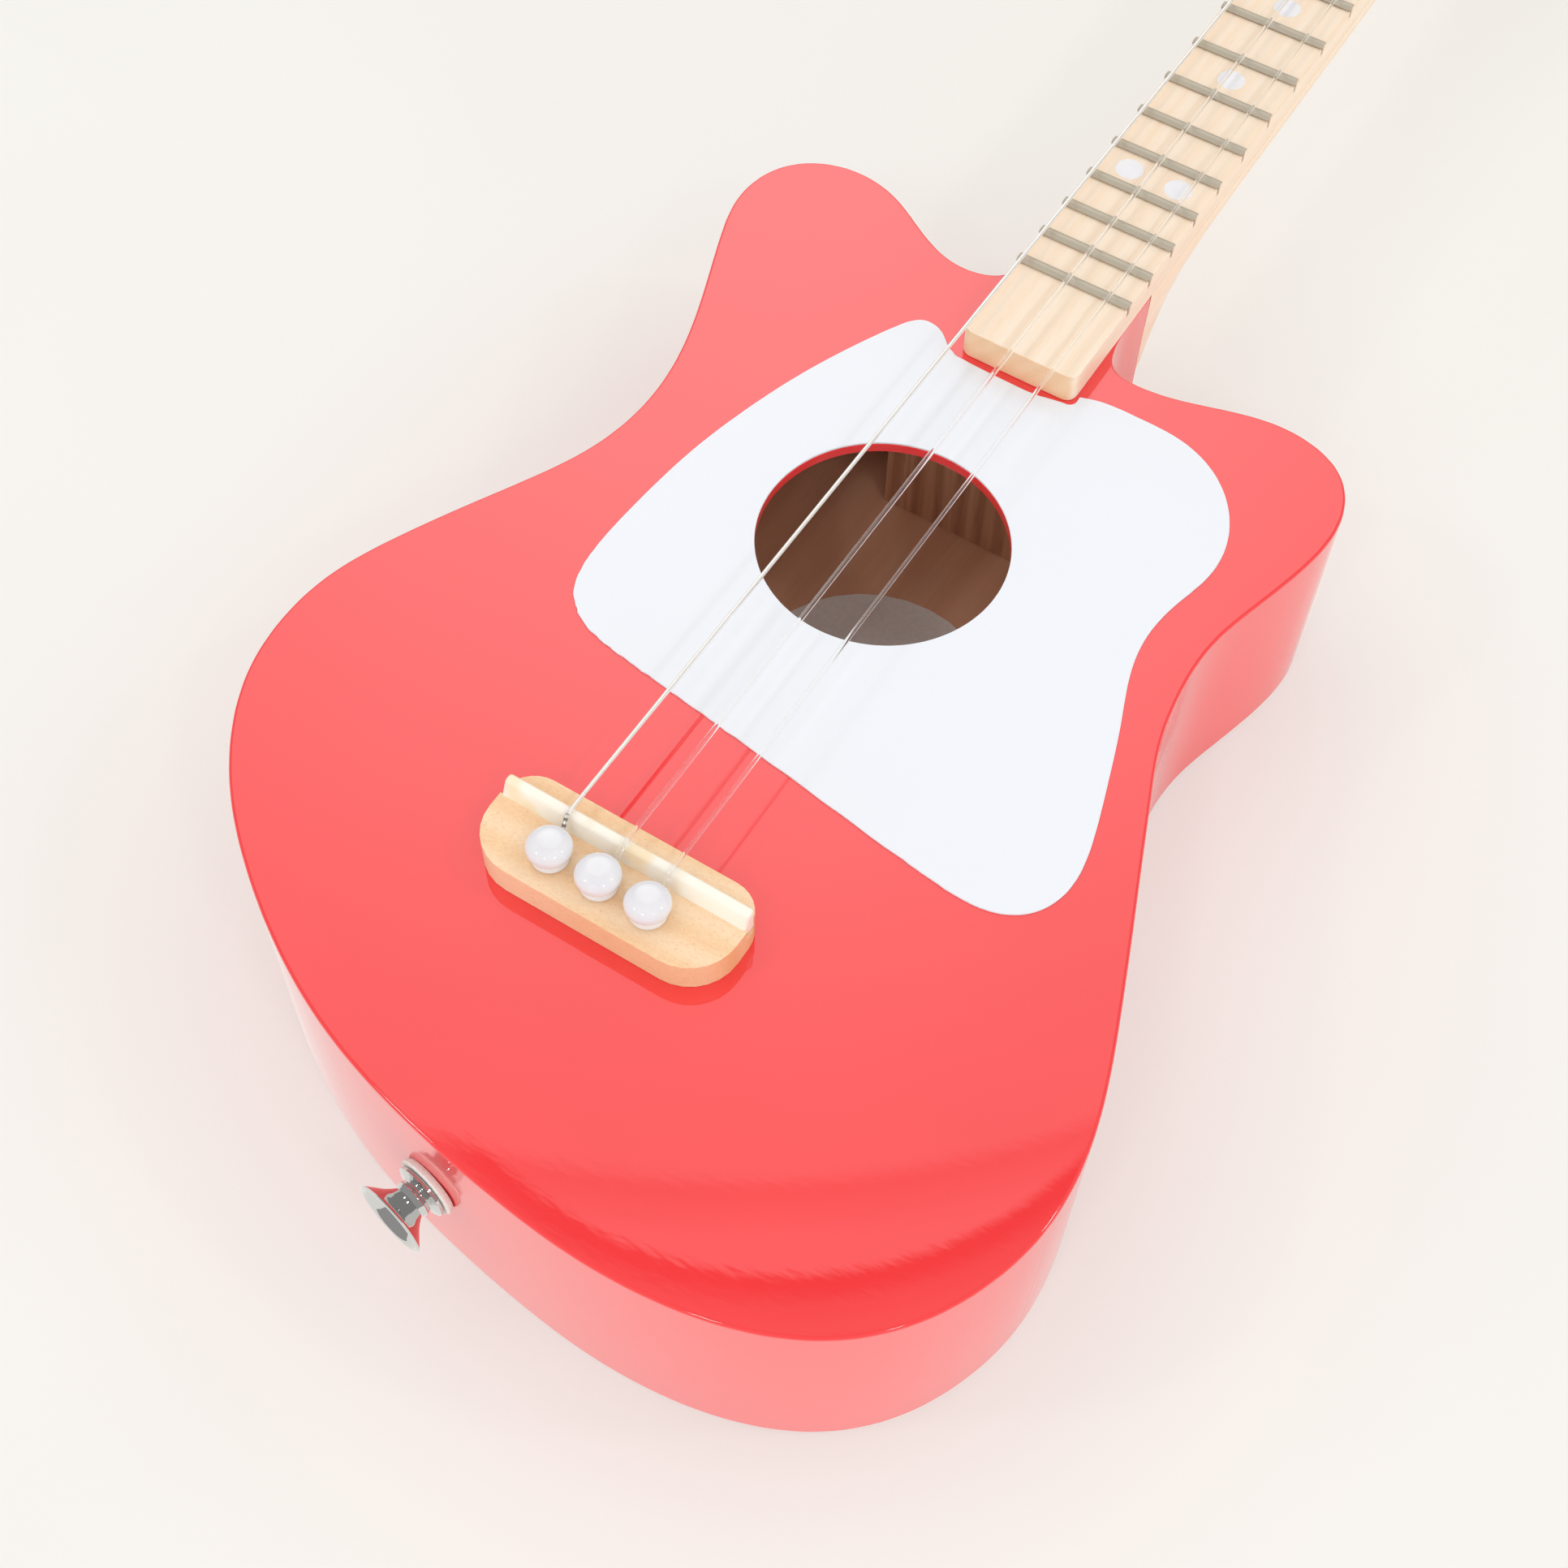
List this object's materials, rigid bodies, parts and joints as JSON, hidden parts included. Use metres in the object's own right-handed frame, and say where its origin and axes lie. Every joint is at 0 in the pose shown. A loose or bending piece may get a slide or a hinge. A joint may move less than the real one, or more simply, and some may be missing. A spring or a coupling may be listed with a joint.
{
  "type": "mini acoustic guitar",
  "caption": "Small acoustic guitar with a glossy red body, white pickguard, maple neck, geared tuners and a chrome strap button.",
  "frame": {"origin": "outer face of the back, on the centreline, straight under the saddle line", "axes": "+X to the treble side, +Y along the neck to the headstock, +Z out of the soundboard"},
  "size_m": [0.1779, 0.5307, 0.0621],
  "materials": {
    "red_lacquer": "high gloss lacquer on wood",
    "inner_wood": "raw",
    "white_plastic": "gloss",
    "pearl_plastic": "gloss",
    "bridge_wood": "satin",
    "ivory_plastic": "satin",
    "maple": "satin",
    "fret_metal": "satin",
    "chrome": "polished",
    "nickel": "satin",
    "brass": "satin",
    "felt": "matt",
    "wound_metal": "polished",
    "clear_nylon": "clear",
    "paper": "matt"
  },
  "bodies": {
    "instrument": {"body_sides": "red_lacquer", "soundboard": "red_lacquer", "back_plate": "red_lacquer", "neck_block": "inner_wood", "tail_block": "inner_wood", "top_lining": "inner_wood", "back_lining": "inner_wood", "upper_top_brace": "inner_wood", "lower_top_brace": "inner_wood", "back_brace": "inner_wood", "bridge_plate": "inner_wood", "pickguard": "white_plastic", "bridge": "bridge_wood", "saddle": "ivory_plastic", "strap_button": "chrome", "strap_button_washer": "felt", "strap_button_screw": "chrome", "neck": "maple", "fretboard": "maple", "nut": "ivory_plastic", "fret_01": "fret_metal", "fret_02": "fret_metal", "fret_03": "fret_metal", "fret_04": "fret_metal", "fret_05": "fret_metal", "fret_06": "fret_metal", "fret_07": "fret_metal", "fret_08": "fret_metal", "fret_09": "fret_metal", "fret_10": "fret_metal", "fret_11": "fret_metal", "fret_12": "fret_metal", "fret_13": "fret_metal", "fret_14": "fret_metal", "fret_15": "fret_metal", "string_bass": "wound_metal", "string_middle": "clear_nylon", "string_treble": "clear_nylon", "tuner_plate_bass": "nickel", "tuner_plate_middle": "nickel", "tuner_plate_treble": "nickel", "paper_label": "paper"},
    "knob_bass": {"worm_shaft_bass": "nickel", "tuner_button_bass": "pearl_plastic"},
    "post_bass": {"string_post_bass": "chrome", "post_gear_bass": "brass", "winding_bass": "wound_metal"},
    "knob_middle": {"worm_shaft_middle": "nickel", "tuner_button_middle": "pearl_plastic"},
    "post_middle": {"string_post_middle": "chrome", "post_gear_middle": "brass", "winding_middle": "clear_nylon"},
    "knob_treble": {"worm_shaft_treble": "nickel", "tuner_button_treble": "pearl_plastic"},
    "post_treble": {"string_post_treble": "chrome", "post_gear_treble": "brass", "winding_treble": "clear_nylon"},
    "pin_bass": {"bridge_pin_bass": "white_plastic"},
    "pin_middle": {"bridge_pin_middle": "white_plastic"},
    "pin_treble": {"bridge_pin_treble": "white_plastic"}
  },
  "joints": [
    {"name": "turn_knob_bass", "type": "hinge", "parent": "instrument", "child": "knob_bass", "pos_m": [-0.0125, 0.4114, 0.0285], "axis": [1, 0, 0], "continuous": true},
    {"name": "turn_post_bass", "type": "hinge", "parent": "instrument", "child": "post_bass", "pos_m": [-0.0125, 0.405, 0.0285], "axis": [0, 0, 1], "continuous": true},
    {"name": "turn_knob_middle", "type": "hinge", "parent": "instrument", "child": "knob_middle", "pos_m": [-0.0125, 0.4424, 0.0285], "axis": [1, 0, 0], "continuous": true},
    {"name": "turn_post_middle", "type": "hinge", "parent": "instrument", "child": "post_middle", "pos_m": [-0.0125, 0.436, 0.0285], "axis": [0, 0, 1], "continuous": true},
    {"name": "turn_knob_treble", "type": "hinge", "parent": "instrument", "child": "knob_treble", "pos_m": [0.0125, 0.4114, 0.0285], "axis": [1, 0, 0], "continuous": true},
    {"name": "turn_post_treble", "type": "hinge", "parent": "instrument", "child": "post_treble", "pos_m": [0.0125, 0.405, 0.0285], "axis": [0, 0, 1], "continuous": true},
    {"name": "pull_pin_bass", "type": "slide", "parent": "instrument", "child": "pin_bass", "axis": [0, 0, 1], "range_m": [0, 0.025]},
    {"name": "pull_pin_middle", "type": "slide", "parent": "instrument", "child": "pin_middle", "axis": [0, 0, 1], "range_m": [0, 0.025]},
    {"name": "pull_pin_treble", "type": "slide", "parent": "instrument", "child": "pin_treble", "axis": [0, 0, 1], "range_m": [0, 0.025]}
  ],
  "couplings": [
    {"joint": "turn_post_bass", "follows": "turn_knob_bass", "ratio": 0.071429},
    {"joint": "turn_post_middle", "follows": "turn_knob_middle", "ratio": 0.071429},
    {"joint": "turn_post_treble", "follows": "turn_knob_treble", "ratio": 0.071429}
  ]
}
